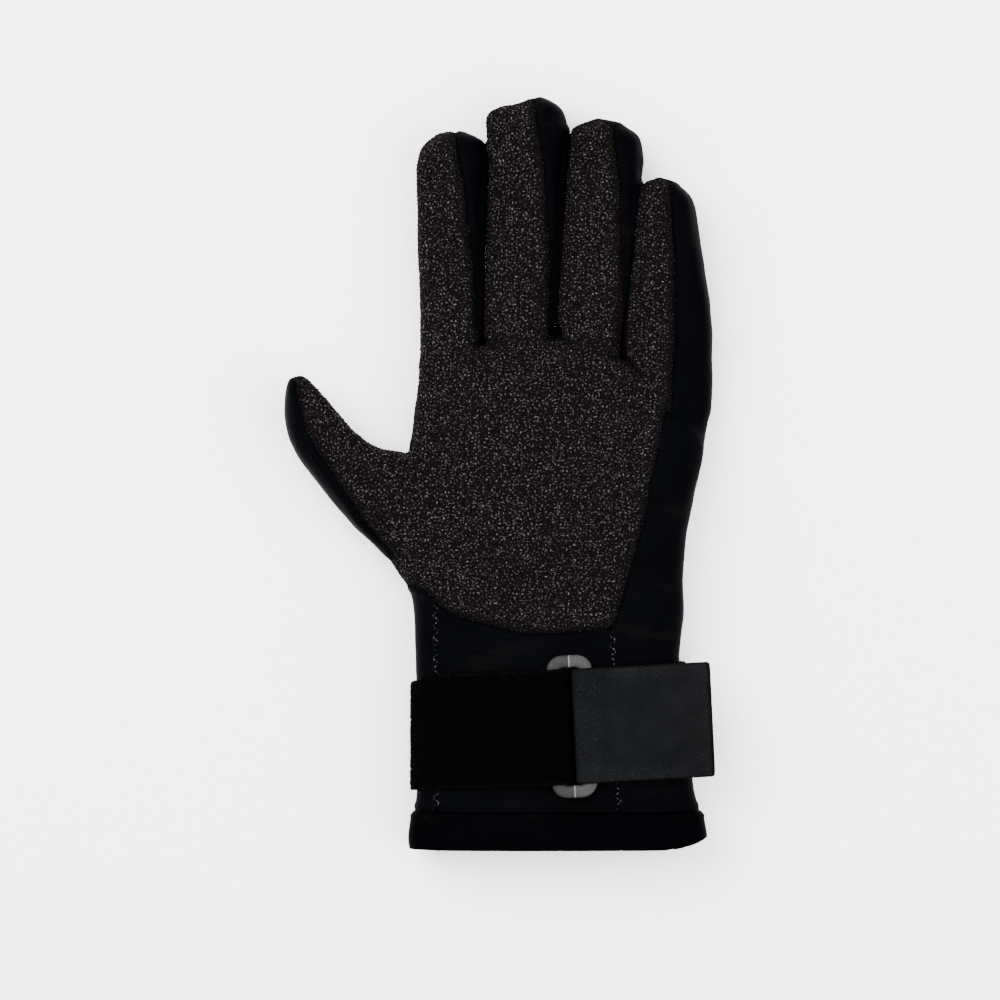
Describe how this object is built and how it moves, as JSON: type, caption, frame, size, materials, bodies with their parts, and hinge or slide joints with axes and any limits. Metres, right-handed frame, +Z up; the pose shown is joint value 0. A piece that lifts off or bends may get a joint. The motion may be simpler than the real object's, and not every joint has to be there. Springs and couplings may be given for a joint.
{
  "type": "diving glove",
  "caption": "Left-hand neoprene diving glove with a knit-armoured palm, side gussets, and a gauntlet cuff closed by a hook-and-loop strap through a ring.",
  "frame": {"origin": "middle of the glove's outline in plan, on the table it lies on", "axes": "+Y from the cuff to the fingertips, +Z up out of the palm, -X towards the thumb"},
  "size_m": [0.1692, 0.2954, 0.04],
  "materials": {
    "armour_knit": "dark brown-black knit with grey-brown abrasion-proof flecks",
    "neoprene": "near-black smooth nylon-faced neoprene, matte",
    "strap": "black loop-pile and woven strap",
    "hook_tape": "black woven hook tape",
    "moulded_ring": "mid-grey moulded plastic, slightly satin"
  },
  "bodies": {
    "root": {"hem_band": "neoprene", "palm_panel": "armour_knit", "fourchette_index_middle": "neoprene", "fourchette_middle_ring": "neoprene", "fourchette_ring_little": "neoprene", "cuff_palm_panel": "neoprene", "back_shell": "neoprene", "wrist_strap": "strap", "hook_patch": "hook_tape", "strap_ring": "moulded_ring"}
  },
  "joints": []
}
